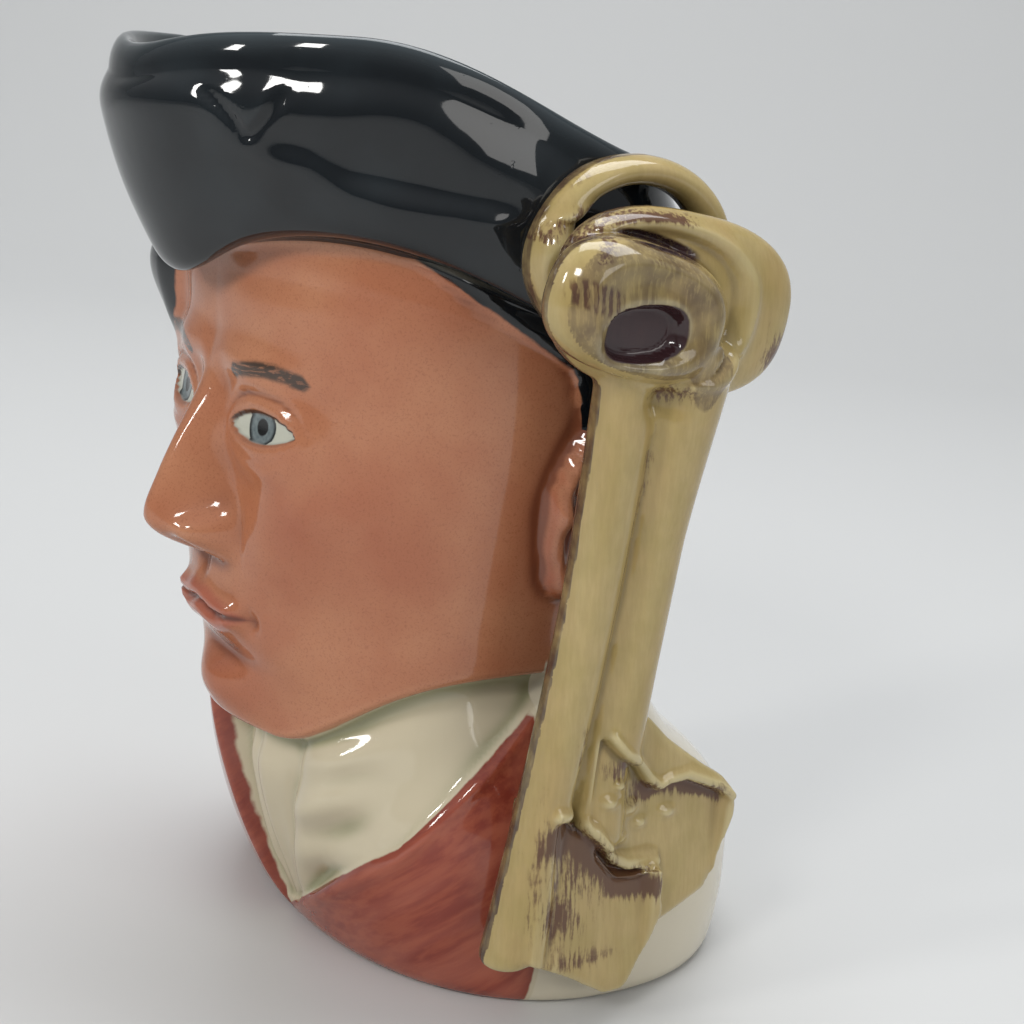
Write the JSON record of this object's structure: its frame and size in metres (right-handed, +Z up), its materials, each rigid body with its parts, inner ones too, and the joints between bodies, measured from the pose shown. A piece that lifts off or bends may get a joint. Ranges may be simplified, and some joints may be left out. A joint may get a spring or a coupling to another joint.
{
  "type": "toby jug",
  "caption": "Small glazed character jug: a hollow cast head in a cocked hat, open at the rim, with a handle shaped as a ring and keys.",
  "frame": {"origin": "middle of the foot, on the surface that the jug stands on", "axes": "+Z up through the open rim, -Y the way the face looks, +X towards the key handle"},
  "size_m": [0.0705, 0.0759, 0.0967],
  "materials": {
    "bare_glaze": "clear gloss glaze over an ivory body",
    "hat_glaze": "high gloss blue-black glaze",
    "figure_glaze": "gloss glaze over sprayed and brushed colours",
    "key_glaze": "gloss glaze over brushed yellow ochre"
  },
  "bodies": {
    "root": {"toby_jug": "bare_glaze"}
  },
  "joints": []
}
